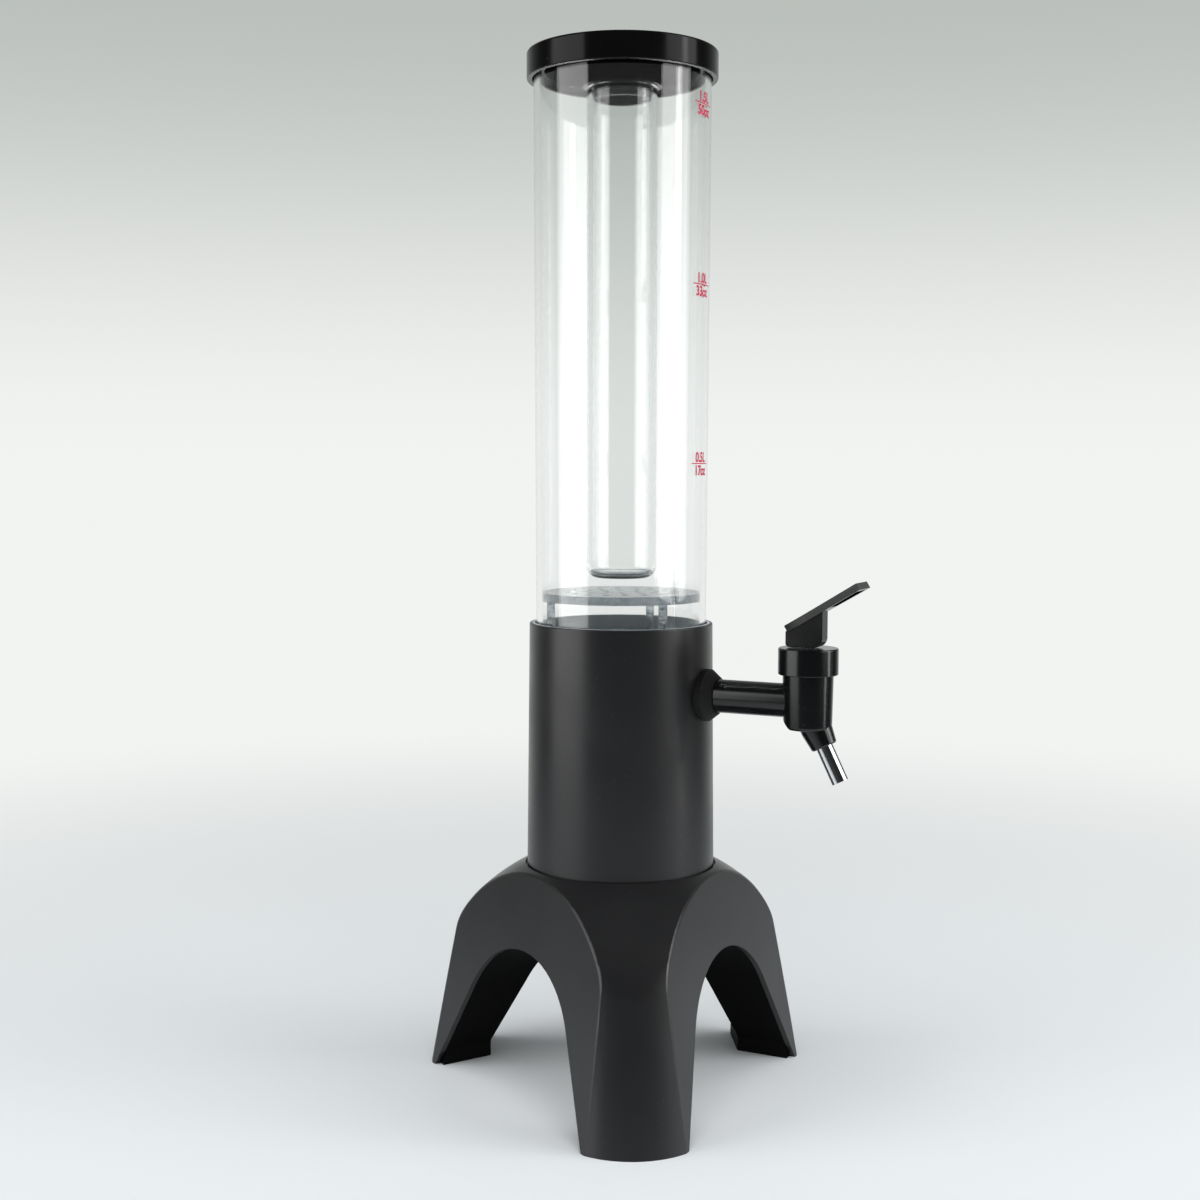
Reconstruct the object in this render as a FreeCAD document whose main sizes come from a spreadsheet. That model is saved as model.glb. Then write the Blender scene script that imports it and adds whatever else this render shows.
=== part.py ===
import FreeCAD, Part
import math
import os
import re
import Sketcher
from FreeCAD import Placement, Rotation, Vector

# A table-top beer tower: a clear graduated tube with an ice tube hung from its lid,
# on a black column and a three-legged base, with a lever tap on the column.
# Millimetres. Z is up, the origin is on the tower's axis at the floor, the tap points to -Y,
# one leg points to +Y and the tap comes out between the other two.

SIZES = {
    # three-legged base: a sphere cut by three leaning planes, with a round nose on each leg
    "deck_height": 119.0,
    "dome_radius": 111.0,
    "dome_drop": 98.7,
    "side_top_reach": 53.1,
    "side_lean": 9.5,
    "nose_radius": 40.0,
    "foot_reach": 111.7,
    "waist_reach": 95.0,
    "waist_drop": 39.0,
    "arch_height": 79.0,
    "arch_radius": 53.6,
    "arch_flare": 27.8,
    "crease_round": 2.0,
    "waist_round": 20.0,
    "shell_wall": 3.0,
    "deck_wall": 3.0,
    "liner_wall": 2.5,
    "sole_wall": 3.0,
    "foot_block": 8.5,
    "liner_gap": 0.3,
    "post_reach": 22.0,
    "post_radius": 4.0,
    # column sleeve
    "recess_depth": 1.5,
    "recess_gap": 1.0,
    "sleeve_rise": 7.0,
    "sleeve_gap": 0.95,
    "sleeve_draft": 1.3,
    "sleeve_wall": 2.6,
    "rim_round": 0.8,
    "ledge_gap": 1.25,
    "ledge_wall": 3.0,
    "boss_radius": 4.2,
    "boss_sink": 0.9,
    "boss_length": 24.0,
    "spacer_wall": 2.6,
    # chamber floor with its sump
    "floor_rise": 28.9,
    "floor_wall": 2.5,
    "plug_gap": 0.3,
    "plug_wall": 2.5,
    "plug_height": 6.0,
    "flange_wall": 2.5,
    "flange_gap": 0.63,
    "sump_floor_gap": 2.6,
    "sump_face": 36.0,
    "sump_side_gap": 0.84,
    "sump_back": 10.0,
    "sump_wall": 2.4,
    "sump_front_wall": 3.0,
    "gasket_wall": 1.5,
    "seal_gap": 0.1,
    # clear tube and strainer
    "tube_foot_radius": 44.65,
    "tube_draft": 1.3,
    "tube_length": 300.5,
    "tube_wall": 3.0,
    "tube_edge": 0.5,
    "strainer_leg_length": 18.8,
    "strainer_wall": 4.3,
    "strainer_gap": 0.3,
    "strainer_hole": 1.8,
    "strainer_ring_pitch": 9.5,
    "strainer_leg_reach": 37.0,
    "strainer_leg_radius": 2.2,
    "strainer_turn": 30.0,
    # lid and ice tube
    "lid_overlap": 9.1,
    "lid_plate_wall": 2.5,
    "lid_skirt_gap": 0.65,
    "lid_wall": 2.8,
    "lid_edge": 1.2,
    "lid_foot_edge": 0.4,
    "lid_collar_gap": 0.5,
    "lid_collar_wall": 2.2,
    "lid_collar_length": 8.0,
    "lid_seal_wall": 1.9,
    "lid_seal_rise": 0.1,
    "holder_boss_length": 15.0,
    "holder_radius": 20.5,
    "holder_plug_length": 6.5,
    "holder_wall": 2.4,
    "ice_radius": 18.3,
    "ice_wall": 2.4,
    "ice_top_gap": 0.3,
    "ice_floor_gap": 7.4,
    "ice_plug_gap": 0.9,
    "ring_radius": 0.7,
    "ring_gap": 0.05,
    # tap
    "tap_reach": 104.3,
    "tap_rise": 92.1,
    "shank_radius": 8.6,
    "shank_bore": 4.5,
    "shank_end": 25.0,
    "shank_hole_gap": 0.3,
    "nut_gap": 0.1,
    "washer_flare": 4.9,
    "washer_rim": 2.4,
    "washer_length": 7.2,
    "washer_tip_wall": 1.1,
    "washer_gap": 0.05,
    "inner_washer_rim": 3.9,
    "inner_washer_wall": 2.0,
    "nut_rim": 2.8,
    "nut_length": 6.0,
    "body_radius": 12.8,
    "body_foot_radius": 12.3,
    "body_underside": 13.7,
    "body_round": 1.8,
    "neck_radius": 11.6,
    "neck_base": 13.9,
    "neck_length": 8.5,
    "chamber_bore": 8.6,
    "seat_height": 6.0,
    "seat_bore": 3.6,
    "well_wall": 2.0,
    "heel_cut_height": 8.0,
    "heel_cut_width": 6.8,
    "collar_radius": 15.15,
    "collar_length": 13.4,
    "collar_top_wall": 3.4,
    "collar_edge": 0.8,
    "collar_foot_edge": 0.3,
    "collar_thread_gap": 0.2,
    # inclined spout
    "spout_lean": 26.3,
    "spout_start": 4.9,
    "spout_drop": 13.7,
    "socket_top_radius": 8.0,
    "socket_foot_radius": 6.7,
    "socket_length": 9.6,
    "socket_root": 6.0,
    "socket_edge": 0.7,
    "spout_radius": 4.4,
    "spout_wall": 0.7,
    "spout_lip": 0.4,
    "spout_length": 26.0,
    "spout_seat": 7.0,
    "spout_hole_rise": 4.0,
    # valve
    "stem_radius": 2.5,
    "stem_collar_radius": 6.3,
    "stem_collar_wall": 1.5,
    "stem_collar_height": 1.5,
    "stem_gap": 0.06,
    "stem_shoulder": 1.4,
    "seal_radius": 6.4,
    "seal_wall": 3.2,
    "seal_edge": 0.6,
    "stem_ring_radius": 0.8,
    "spring_wire": 0.45,
    "spring_radius": 4.6,
    "spring_turns": 5.0,
    # lever
    "pivot_rise": 5.6,
    "pin_radius": 1.25,
    "pin_gap": 0.05,
    "eye_radius": 3.4,
    "eye_half_width": 1.5,
    "lever_half_width": 4.0,
    "lever_inner_end": 10.8,
    "lever_outer_end": 8.6,
    "lever_lift": 0.3,
    "lever_corner": 5.0,
    "lever_heel": 1.2,
    "paddle_slope": 30.7,
    "paddle_start": 11.3,
    "paddle_start_height": 5.3,
    "paddle_length": 44.6,
    "paddle_wall": 3.6,
    "paddle_root_half_width": 5.0,
    "paddle_tip_half_width": 8.8,
    "paddle_rim": 1.4,
    "paddle_floor": 1.5,
    "paddle_flat": 12.5,
    "slot_gap": 0.25,
    "slot_swing": 1.6,
    "slot_head_room": 1.0,
    # screws
    "screw_radius": 1.5,
    "screw_bite": 0.05,
    "screw_clearance": 0.3,
    "screw_head_radius": 3.0,
    "screw_head_height": 2.0,
    "screw_head_gap": 0.1,
    "screw_length": 18.0,
    "screw_pilot_extra": 2.0,
}

doc = FreeCAD.newDocument("BeerTower")
sheet = doc.addObject("Spreadsheet::Sheet", "Sizes")
for row, (alias, value) in enumerate(SIZES.items(), start=1):
    sheet.set(f"A{row}", alias)
    sheet.set(f"B{row}", str(value))
    sheet.setAlias(f"B{row}", alias)
doc.recompute()

# cuts run this far past a face, and features of one body this far into each other
OVERRUN = "1"

ALIASES = re.compile(r"\b(" + "|".join(SIZES) + r")\b")
calculator = doc.addObject("Spreadsheet::Sheet", "Calculator")


def with_sheet(formula):
    return ALIASES.sub(r"Sizes.\1", formula)


def number(formula):
    """The present value of a formula of the sheet's sizes."""
    calculator.set("A1", "=" + with_sheet(formula))
    calculator.recompute()
    return float(calculator.get("A1"))


def bind(item, name, formula):
    item.setExpression(name, with_sheet(formula))


def new_body(name, label=None, base=("0", "0", "0")):
    body = doc.addObject("PartDesign::Body", name)
    body.Label = label or name
    place(body, *base)
    doc.recompute()
    return body


def place(item, x="0", y="0", z="0"):
    for axis, formula in zip("xyz", (x, y, z)):
        if formula != "0":
            bind(item, "Placement.Base." + axis, formula)


def origin_part(body, role):
    return next(part for part in body.Origin.OriginFeatures if part.Role == role)


def new_sketch(body, name, plane="XZ", shift=("0", "0", "0"), lean=None, lean_axis=Vector(0, 0, 1)):
    """A sketch on a plane of the body's own origin, shifted and turned in that plane's frame."""
    sketch = body.newObject("Sketcher::SketchObject", name)
    sketch.AttachmentSupport = (origin_part(body, plane + "_Plane"), [""])
    sketch.MapMode = "FlatFace"
    start = Vector(*[number(formula) for formula in shift])
    turn = Rotation(lean_axis, number(lean)) if lean else Rotation()
    sketch.AttachmentOffset = Placement(start, turn)
    for axis, formula in zip("xyz", shift):
        if formula != "0":
            bind(sketch, "AttachmentOffset.Base." + axis, formula)
    if lean:
        bind(sketch, "AttachmentOffset.Rotation.Angle", lean)
    return sketch


def hold_point(sketch, side, end, x, y):
    """Ties a point of the sketch to its two coordinates."""
    for kind, formula, axis in (("DistanceX", x, -2), ("DistanceY", y, -1)):
        if formula == "0":
            sketch.addConstraint(Sketcher.Constraint("PointOnObject", side, end, axis))
            continue
        rule = Sketcher.Constraint(kind, -1, 1, side, end, number(formula))
        bind(sketch, f"Constraints[{sketch.addConstraint(rule)}]", formula)


def arc_middle(start, end, radius, centre_side):
    chord = end - start
    middle = (start + end) * 0.5
    left = Vector(-chord.y, chord.x, 0).normalize() * centre_side
    rise = math.sqrt(max(radius**2 - (chord.Length / 2) ** 2, 0))
    return middle + left * (rise - radius)


def outline(sketch, corners, arcs=None):
    """A closed outline through corners. arcs gives a side's radius, and 1 or -1 where its
    centre lies on the left or the right of the way from corner to corner."""
    points = [Vector(number(x), number(y), 0) for x, y in corners]
    count = len(points)
    ends = []
    sides = []
    for i, start in enumerate(points):
        end = points[(i + 1) % count]
        if arcs and i in arcs:
            radius, centre_side = arcs[i]
            bow = Part.Arc(start, arc_middle(start, end, number(radius), centre_side), end)
            side = sketch.addGeometry(bow, False)
            forward = sketch.getPoint(side, 1).distanceToPoint(start) < 1e-6
            ends.append((1, 2) if forward else (2, 1))
        else:
            side = sketch.addGeometry(Part.LineSegment(start, end), False)
            ends.append((1, 2))
        sides.append(side)
    for i, (x, y) in enumerate(corners):
        after = (i + 1) % count
        sketch.addConstraint(
            Sketcher.Constraint("Coincident", sides[i], ends[i][1], sides[after], ends[after][0])
        )
        hold_point(sketch, sides[i], ends[i][0], x, y)
    for i, (radius, centre_side) in (arcs or {}).items():
        rule = Sketcher.Constraint("Radius", sides[i], number(radius))
        bind(sketch, f"Constraints[{sketch.addConstraint(rule)}]", radius)
    return sketch


def circle(sketch, radius, x="0", y="0"):
    centre = Vector(number(x), number(y), 0)
    ring = sketch.addGeometry(Part.Circle(centre, Vector(0, 0, 1), number(radius)), False)
    hold_point(sketch, ring, 3, x, y)
    rule = Sketcher.Constraint("Radius", ring, number(radius))
    bind(sketch, f"Constraints[{sketch.addConstraint(rule)}]", radius)
    return sketch


def feature(body, kind, name, profile, **settings):
    """A PartDesign feature. Settings given as text are formulas of the sheet's sizes."""
    item = body.newObject("PartDesign::" + kind, name)
    item.Profile = profile
    if kind in ("Revolution", "Groove"):
        item.ReferenceAxis = (profile, ["V_Axis"])
        item.Angle = 360.0
    for key, value in settings.items():
        if isinstance(value, str) and key in ("Length", "TaperAngle"):
            bind(item, key, value)
        else:
            setattr(item, key, value)
    doc.recompute()
    return item


def around(body, name, features, count=3):
    """Copies of features round the body's own Z axis."""
    pattern = body.newObject("PartDesign::PolarPattern", name)
    pattern.Originals = features
    pattern.Axis = (origin_part(body, "Z_Axis"), [""])
    pattern.Angle = 360.0
    pattern.Occurrences = count
    body.Tip = pattern
    doc.recompute()
    return pattern


def combine(kind, name, pieces, label=None):
    """A Part boolean of pieces: Cut takes two, MultiFuse and MultiCommon any number."""
    item = doc.addObject("Part::" + kind, name)
    if kind == "Cut":
        item.Base, item.Tool = pieces
    else:
        item.Shapes = pieces
    item.Label = label or name
    doc.recompute()
    return item


def turned(name, label, profile, arcs=None, base=("0", "0", "0")):
    """A body turned about its own Z axis from one profile of radii and heights."""
    body = new_body(name, label, base)
    sketch = outline(new_sketch(body, name + "Profile"), profile, arcs)
    feature(body, "Revolution", name + "Turn", sketch)
    return body


def faces_at(shape, edge):
    return [face for face in shape.Faces if any(edge.isSame(side) for side in face.Edges)]


def turn_across(shape, edge):
    """Degrees that the surface turns at an edge."""
    faces = faces_at(shape, edge)
    if len(faces) < 2:
        return 0.0
    middle = edge.valueAt((edge.FirstParameter + edge.LastParameter) / 2)
    normals = [face.normalAt(*face.Surface.parameter(middle)) for face in faces]
    return math.degrees(normals[0].getAngle(normals[1]))


def fillet(body, name, radius, test):
    """Rounds those edges of a body's last feature that pass a test."""
    base = body.Tip
    edges = [f"Edge{i}" for i, edge in enumerate(base.Shape.Edges, start=1) if test(edge)]
    item = body.newObject("PartDesign::Fillet", name)
    item.Base = (base, edges)
    bind(item, "Radius", radius)
    doc.recompute()
    return item


# ---------------------------------------------------------------- what follows from the sizes

DOME_CENTRE = "(deck_height - dome_drop)"
WAIST_HEIGHT = "(deck_height - waist_drop)"
DECK_FLOOR = "(deck_height - recess_depth)"
DECK_UNDERSIDE = f"({DECK_FLOOR} - deck_wall)"
TAP_HEIGHT = "(deck_height + tap_rise)"
INNER_WASHER_RADIUS = "(shank_radius + inner_washer_rim)"
NUT_FLAT = "(shank_radius + nut_rim)"
SUMP_FLOOR = f"({TAP_HEIGHT} - {INNER_WASHER_RADIUS} - sump_floor_gap)"
SUMP_HALF_WIDTH = f"({NUT_FLAT} / cos(30) + sump_side_gap)"
FLOOR_HEIGHT = f"({TAP_HEIGHT} + floor_rise)"
FLANGE_HEIGHT = f"({FLOOR_HEIGHT} - plug_height)"
LEDGE_TOP = f"({FLANGE_HEIGHT} - flange_wall)"
LEDGE_UNDERSIDE = f"({LEDGE_TOP} - ledge_wall)"
TUBE_FOOT = f"({FLANGE_HEIGHT} + gasket_wall)"
TUBE_TOP = f"({TUBE_FOOT} + tube_length)"
TUBE_TOP_RADIUS = "(tube_foot_radius + tube_draft)"
TUBE_SLOPE = "(tube_draft / tube_length)"
PLUG_RADIUS = "(tube_foot_radius - tube_wall - plug_gap)"
LEDGE_BORE = f"({PLUG_RADIUS} + ledge_gap)"
SLEEVE_TOP = f"({FLOOR_HEIGHT} + sleeve_rise)"
SLEEVE_TOP_RADIUS = "(tube_foot_radius + sleeve_gap + sleeve_wall)"
SLEEVE_FOOT_RADIUS = f"({SLEEVE_TOP_RADIUS} + sleeve_draft)"
SLEEVE_SLOPE = f"(sleeve_draft / ({SLEEVE_TOP} - {DECK_FLOOR}))"
STRAINER_UNDERSIDE = f"({FLOOR_HEIGHT} + strainer_leg_length)"
LID_PLATE = f"({TUBE_TOP} + lid_seal_rise + lid_seal_wall)"
LID_TOP = f"({LID_PLATE} + lid_plate_wall)"
LID_UNDERSIDE = f"({TUBE_TOP} - lid_overlap)"
LID_RADIUS = f"({TUBE_TOP_RADIUS} + lid_skirt_gap + lid_wall)"
BOSS_UNDERSIDE = f"({LID_PLATE} - holder_boss_length)"
ICE_TOP = f"({BOSS_UNDERSIDE} - ice_top_gap)"
ICE_BOTTOM = f"({STRAINER_UNDERSIDE} + strainer_wall + ice_floor_gap)"


def sleeve_radius(height):
    return f"({SLEEVE_TOP_RADIUS} + {SLEEVE_SLOPE} * ({SLEEVE_TOP} - ({height})))"


def sleeve_bore(height):
    return f"({sleeve_radius(height)} - sleeve_wall)"


def tube_radius(height):
    return f"(tube_foot_radius + {TUBE_SLOPE} * (({height}) - {TUBE_FOOT}))"


def tube_bore(height):
    return f"({tube_radius(height)} - tube_wall)"


FLANGE_RADIUS = f"({sleeve_bore(FLANGE_HEIGHT)} - flange_gap)"
SPACER_RADIUS = "(shank_radius + shank_hole_gap + spacer_wall)"
WASHER_RADIUS = "(shank_radius + washer_flare)"
WASHER_TIP_RADIUS = "(shank_radius + washer_tip_wall)"
NECK_TOP = "(neck_base + neck_length)"
COLLAR_TOP = "(neck_base + collar_length)"
PIVOT_HEIGHT = f"({COLLAR_TOP} + pivot_rise)"

# ---------------------------------------------------------------- three-legged base

SIDE_REACH = "(side_top_reach + deck_height * tan(side_lean))"
FOOT_LINE = "(foot_reach - nose_radius)"
NOSE_SLOPE = f"((foot_reach - waist_reach) / {WAIST_HEIGHT})"


def tripod_form(name, inset, top):
    """The base's outer form, or the same form inset by a wall, up to a height."""
    body = new_body(name)
    reach = f"({SIDE_REACH} - ({inset}) / cos(side_lean))"
    triangle = outline(
        new_sketch(body, name + "Triangle", "XY"),
        [("0", f"2 * {reach}"), (f"-sqrt(3) * {reach}", f"-{reach}"), (f"sqrt(3) * {reach}", f"-{reach}")],
    )
    feature(body, "Pad", name + "Sides", triangle, Length=top, TaperAngle="-side_lean")
    dome = f"(dome_radius - ({inset}))"
    low = f"({WAIST_HEIGHT} - 0.4 * nose_radius)"
    shoulder = outline(
        new_sketch(body, name + "Shoulder"),
        [
            (f"sqrt({dome}^2 - ({top} - {DOME_CENTRE})^2)", top),
            (f"sqrt({dome}^2 - ({low} - {DOME_CENTRE})^2)", low),
            (f"3 * {SIDE_REACH}", low),
            (f"3 * {SIDE_REACH}", f"{top} + {OVERRUN}"),
            (f"sqrt({dome}^2 - ({top} - {DOME_CENTRE})^2)", f"{top} + {OVERRUN}"),
        ],
        {0: (dome, -1)},
    )
    feature(body, "Groove", name + "Dome", shoulder)
    nose_sketches = []
    for end, height in (("Foot", "0"), ("Top", top)):
        nose = f"(nose_radius - ({inset}))"
        half = f"({nose} * sin(60))"
        line = f"({FOOT_LINE} - {NOSE_SLOPE} * ({height}) + {nose} * cos(60))"
        sketch = new_sketch(body, name + "Nose" + end, "XY", ("0", "0", height))
        outline(
            sketch,
            [
                ("-1.5 * nose_radius", line),
                (f"-{half}", line),
                (half, line),
                ("1.5 * nose_radius", line),
                ("1.5 * nose_radius", f"3 * {SIDE_REACH}"),
                ("-1.5 * nose_radius", f"3 * {SIDE_REACH}"),
            ],
            {1: (nose, -1)},
        )
        nose_sketches.append(sketch)
    foot_sketch, top_sketch = nose_sketches
    cut = feature(body, "SubtractiveLoft", name + "Nose", foot_sketch, Sections=[top_sketch], Ruled=True)
    around(body, name + "Noses", [cut])
    return body


def arch_tunnels(name, wall, block="0"):
    """Three arches, each run out from the tower's axis between two legs, upright below a height."""
    body = new_body(name)
    radius = f"(arch_radius + ({wall}))"
    centre = "(arch_height - arch_radius)"
    side = f"({radius} * cos(arch_flare))"
    spring = f"({centre} + {radius} * sin(arch_flare))"
    foot = f"({side} + ({spring} - ({block})) * tan(arch_flare))"
    arch = outline(
        new_sketch(body, name + "Arch"),
        [
            (f"-{foot}", f"-{OVERRUN}"),
            (foot, f"-{OVERRUN}"),
            (foot, block),
            (side, spring),
            ("0", f"{centre} + {radius}"),
            (f"-{side}", spring),
            (f"-{foot}", block),
        ],
        {3: (radius, 1), 4: (radius, 1)},
    )
    tunnel = feature(body, "Pad", name + "Tunnel", arch, Length=f"2 * {SIDE_REACH}")
    around(body, name + "Tunnels", [tunnel])
    return body


def posts(name, radius, reach, bottom, length, turn_half=False):
    """Three upright rods round the tower's axis, in line with the arches or with the legs."""
    body = new_body(name)
    distance = reach if turn_half else f"-({reach})"
    sketch = circle(new_sketch(body, name + "Circle", "XY", ("0", "0", bottom)), radius, "0", distance)
    rod = feature(body, "Pad", name + "Rod", sketch, Length=length)
    around(body, name + "Rods", [rod])
    return body


LINER_TOP = "(arch_height + liner_wall)"
BOSS_REACH = f"({SLEEVE_FOOT_RADIUS} - sleeve_wall - boss_radius + boss_sink)"
WAIST_SPREAD = 10
CREASE_TURN = 5


def off_leg_line(point):
    """Degrees from a point, seen from above, to the nearest leg's middle line."""
    azimuth = math.degrees(math.atan2(point.y, point.x))
    return abs((azimuth - 90 + 60) % 120 - 60)


def is_waist(edge):
    """Where the dome turns into the outer side of a leg."""
    return edge.CenterOfMass.z > 1 and off_leg_line(edge.CenterOfMass) < WAIST_SPREAD


def is_crease(edge):
    """Where two sides of the form meet, other than on the floor or round the deck."""
    middle = edge.CenterOfMass.z
    return 1 < middle < number("deck_height - 1") and turn_across(outer_form.Tip.Shape, edge) > CREASE_TURN


outer_form = tripod_form("OuterForm", "0", "deck_height")
fillet(outer_form, "WaistRounds", "waist_round", is_waist)
fillet(outer_form, "CreaseRounds", "crease_round", is_crease)
inner_form = tripod_form("InnerForm", "shell_wall", DECK_UNDERSIDE)
tunnels = arch_tunnels("Tunnels", "0")
deck_posts = posts("DeckPosts", "post_radius", "post_reach", LINER_TOP, f"{DECK_UNDERSIDE} - {LINER_TOP}")
deck_recess = turned(
    "DeckRecess",
    None,
    [
        ("0", DECK_FLOOR),
        (f"{SLEEVE_FOOT_RADIUS} + recess_gap", DECK_FLOOR),
        (f"{SLEEVE_FOOT_RADIUS} + recess_gap", f"deck_height + {OVERRUN}"),
        ("0", f"deck_height + {OVERRUN}"),
    ],
)
post_pilots = posts(
    "PostPilots", "screw_radius", "post_reach", LINER_TOP, "screw_length + screw_pilot_extra - liner_wall"
)
deck_holes = posts(
    "DeckHoles",
    "screw_radius + screw_clearance",
    BOSS_REACH,
    DECK_UNDERSIDE,
    f"deck_wall + {OVERRUN}",
    turn_half=True,
)
hollow_shell = combine("Cut", "HollowShell", (outer_form, inner_form))
shell_with_posts = combine("MultiFuse", "ShellWithPosts", [hollow_shell, deck_posts])
shell_cuts = combine("MultiFuse", "ShellCuts", [tunnels, deck_recess, post_pilots, deck_holes])
base_shell = combine("Cut", "BaseShell", (shell_with_posts, shell_cuts), "base_shell")

liner_block = tripod_form("LinerBlock", "shell_wall + liner_gap", LINER_TOP)
liner_vault = arch_tunnels("LinerVault", "0", "foot_block")
liner_tunnels = arch_tunnels("LinerTunnels", "liner_wall", "foot_block")
sole_slab = turned(
    "SoleSlab",
    None,
    [("0", "0"), (f"2 * {SIDE_REACH}", "0"), (f"2 * {SIDE_REACH}", "sole_wall"), ("0", "sole_wall")],
)
liner_holes = posts(
    "LinerHoles",
    "screw_radius + screw_clearance",
    "post_reach",
    f"arch_height - {OVERRUN}",
    f"liner_wall + 2 * {OVERRUN}",
)
liner_keep = combine("MultiFuse", "LinerKeep", [liner_tunnels, sole_slab])
liner_solid = combine("MultiCommon", "LinerSolid", [liner_block, liner_keep])
liner_cuts = combine("MultiFuse", "LinerCuts", [liner_vault, liner_holes])
base_underside = combine("Cut", "BaseUnderside", (liner_solid, liner_cuts), "base_underside")


def screws(name, label, reach, head_top, turn_half=False):
    """Three screws with their heads down, each head's upper face at a height."""
    body = new_body(name, label)
    distance = reach if turn_half else f"-({reach})"
    head = circle(
        new_sketch(body, name + "HeadCircle", "XY", ("0", "0", f"{head_top} - screw_head_height")),
        "screw_head_radius",
        "0",
        distance,
    )
    head_pad = feature(body, "Pad", name + "Head", head, Length="screw_head_height")
    shank = circle(
        new_sketch(body, name + "ShankCircle", "XY", ("0", "0", head_top)),
        "screw_radius - screw_bite",
        "0",
        distance,
    )
    shank_pad = feature(body, "Pad", name + "Shank", shank, Length="screw_length")
    around(body, name + "Set", [head_pad, shank_pad])
    return body


underside_screws = screws("UndersideScrews", "underside_screws", "post_reach", "arch_height - screw_head_gap")
sleeve_screws = screws("SleeveScrews", "sleeve_screws", BOSS_REACH, DECK_UNDERSIDE, turn_half=True)

# ---------------------------------------------------------------- column sleeve

column_sleeve = turned(
    "ColumnSleeve",
    "column_sleeve",
    [
        (SLEEVE_FOOT_RADIUS, DECK_FLOOR),
        (SLEEVE_TOP_RADIUS, f"{SLEEVE_TOP} - rim_round"),
        (f"{SLEEVE_TOP_RADIUS} - rim_round", SLEEVE_TOP),
        (sleeve_bore(SLEEVE_TOP), SLEEVE_TOP),
        (sleeve_bore(LEDGE_TOP), LEDGE_TOP),
        (LEDGE_BORE, LEDGE_TOP),
        (LEDGE_BORE, LEDGE_UNDERSIDE),
        (sleeve_bore(f"{LEDGE_UNDERSIDE} - ledge_wall"), f"{LEDGE_UNDERSIDE} - ledge_wall"),
        (f"{SLEEVE_FOOT_RADIUS} - sleeve_wall", DECK_FLOOR),
    ],
    {1: ("rim_round", 1)},
)
boss_sketch = new_sketch(column_sleeve, "SleeveBossCircle", "XY", ("0", "0", DECK_FLOOR))
boss_circle = circle(boss_sketch, "boss_radius", "0", BOSS_REACH)
boss = feature(column_sleeve, "Pad", "SleeveBoss", boss_circle, Length="boss_length")
pilot_sketch = new_sketch(column_sleeve, "SleevePilotCircle", "XY", ("0", "0", DECK_FLOOR))
pilot_circle = circle(pilot_sketch, "screw_radius", "0", BOSS_REACH)
pilot = feature(
    column_sleeve,
    "Pocket",
    "SleevePilot",
    pilot_circle,
    Length="screw_length + screw_pilot_extra - deck_wall",
    Reversed=True,
)
around(column_sleeve, "SleeveBosses", [boss, pilot])
SUMP_OUTER_FACE = "(sump_face + sump_front_wall)"
spacer_sketch = new_sketch(column_sleeve, "SpacerCircle", "XZ", ("0", "0", SUMP_OUTER_FACE))
spacer_circle = circle(spacer_sketch, SPACER_RADIUS, "0", TAP_HEIGHT)
# the spacer ends inside the sleeve's wall
SPACER_END = f"(sqrt({sleeve_radius(TAP_HEIGHT)}^2 - {SPACER_RADIUS}^2) - 0.25 * sleeve_wall)"
feature(column_sleeve, "Pad", "TapSpacer", spacer_circle, Length=f"{SPACER_END} - {SUMP_OUTER_FACE}")
shank_circle = circle(
    new_sketch(column_sleeve, "ShankCircle", "XZ"), "shank_radius + shank_hole_gap", "0", TAP_HEIGHT
)
feature(column_sleeve, "Pocket", "ShankHole", shank_circle, Length=f"2 * {SLEEVE_FOOT_RADIUS}", Reversed=True)


# ---------------------------------------------------------------- chamber floor

chamber_floor = turned(
    "ChamberFloor",
    "chamber_floor",
    [
        ("0", f"{FLOOR_HEIGHT} - floor_wall"),
        (f"{PLUG_RADIUS} - plug_wall", f"{FLOOR_HEIGHT} - floor_wall"),
        (f"{PLUG_RADIUS} - plug_wall", LEDGE_TOP),
        (FLANGE_RADIUS, LEDGE_TOP),
        (FLANGE_RADIUS, FLANGE_HEIGHT),
        (PLUG_RADIUS, FLANGE_HEIGHT),
        (PLUG_RADIUS, FLOOR_HEIGHT),
        ("0", FLOOR_HEIGHT),
    ],
)


def sump_outline(sketch, wall, front_wall):
    """A straight-sided pocket with a round back, in plan."""
    half = f"({SUMP_HALF_WIDTH} + {wall})"
    front = f"-(sump_face + {front_wall})"
    return outline(
        sketch,
        [
            (f"-{half}", front),
            (half, front),
            (half, "-sump_back"),
            ("0", f"{half} - sump_back"),
            (f"-{half}", "-sump_back"),
        ],
        {2: (half, 1), 3: (half, 1)},
    )


SUMP_DEPTH = f"({FLOOR_HEIGHT} - {SUMP_FLOOR})"
skin_sketch = new_sketch(chamber_floor, "SumpSkin", "XY", ("0", "0", f"{SUMP_FLOOR} - floor_wall"))
sump_skin = sump_outline(skin_sketch, "sump_wall", "sump_front_wall")
feature(chamber_floor, "Pad", "SumpBlock", sump_skin, Length=SUMP_DEPTH)
plug_trim = outline(
    new_sketch(chamber_floor, "PlugTrimOutline"),
    [
        (PLUG_RADIUS, FLANGE_HEIGHT),
        (f"2 * {FLANGE_RADIUS}", FLANGE_HEIGHT),
        (f"2 * {FLANGE_RADIUS}", FLOOR_HEIGHT),
        (PLUG_RADIUS, FLOOR_HEIGHT),
    ],
)
feature(chamber_floor, "Groove", "PlugTrim", plug_trim)
sump_hollow = sump_outline(new_sketch(chamber_floor, "SumpHollow", "XY", ("0", "0", SUMP_FLOOR)), "0", "0")
feature(chamber_floor, "Pocket", "Sump", sump_hollow, Length=f"{SUMP_DEPTH} + {OVERRUN}", Reversed=True)
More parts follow.
